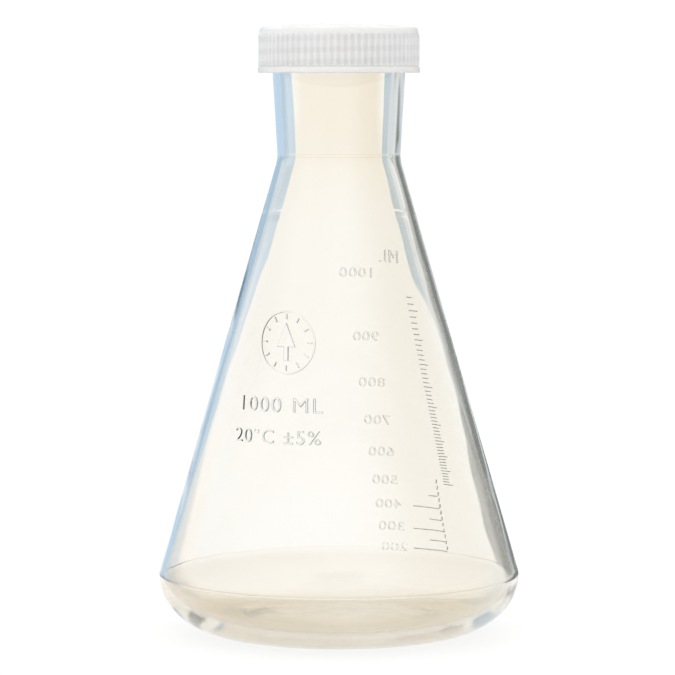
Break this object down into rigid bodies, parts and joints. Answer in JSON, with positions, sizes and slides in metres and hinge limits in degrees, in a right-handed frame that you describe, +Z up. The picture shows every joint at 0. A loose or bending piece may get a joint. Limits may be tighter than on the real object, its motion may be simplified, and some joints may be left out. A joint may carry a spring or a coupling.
{
  "type": "erlenmeyer flask",
  "caption": "Clear plastic Erlenmeyer flask with a conical body, recessed base, threaded neck, ribbed screw cap and soft sealing liner.",
  "frame": {"origin": "middle of the circle that the flask stands on, at the lowest point of the body", "axes": "+Z up along the flask's axis and the cap's thread axis; +Y points away from the viewer, and the volume marks are on the +Y side"},
  "size_m": [0.131, 0.131, 0.221],
  "materials": {
    "clear_plastic": "clear, smooth, faintly warm moulded plastic with a 2 mm wall",
    "milky_plastic": "milky, light-passing polypropylene with fine vertical ribs",
    "liner_silicone": "soft white silicone, matt"
  },
  "bodies": {
    "flask": {"flask_body": "clear_plastic"},
    "liner": {"cap_liner": "liner_silicone"},
    "cap": {"screw_cap": "milky_plastic"}
  },
  "joints": [
    {"name": "cap_lift", "type": "slide", "parent": "flask", "child": "liner", "axis": [0, 0, 1], "range_m": [0, 0.01694]},
    {"name": "cap_turn", "type": "hinge", "parent": "liner", "child": "cap", "pos_m": [0, 0, 0.21], "axis": [0, 0, 1], "range_deg": [0, 1440]}
  ],
  "couplings": [
    {"joint": "cap_lift", "follows": "cap_turn", "m_per_rad": 0.0006737}
  ]
}
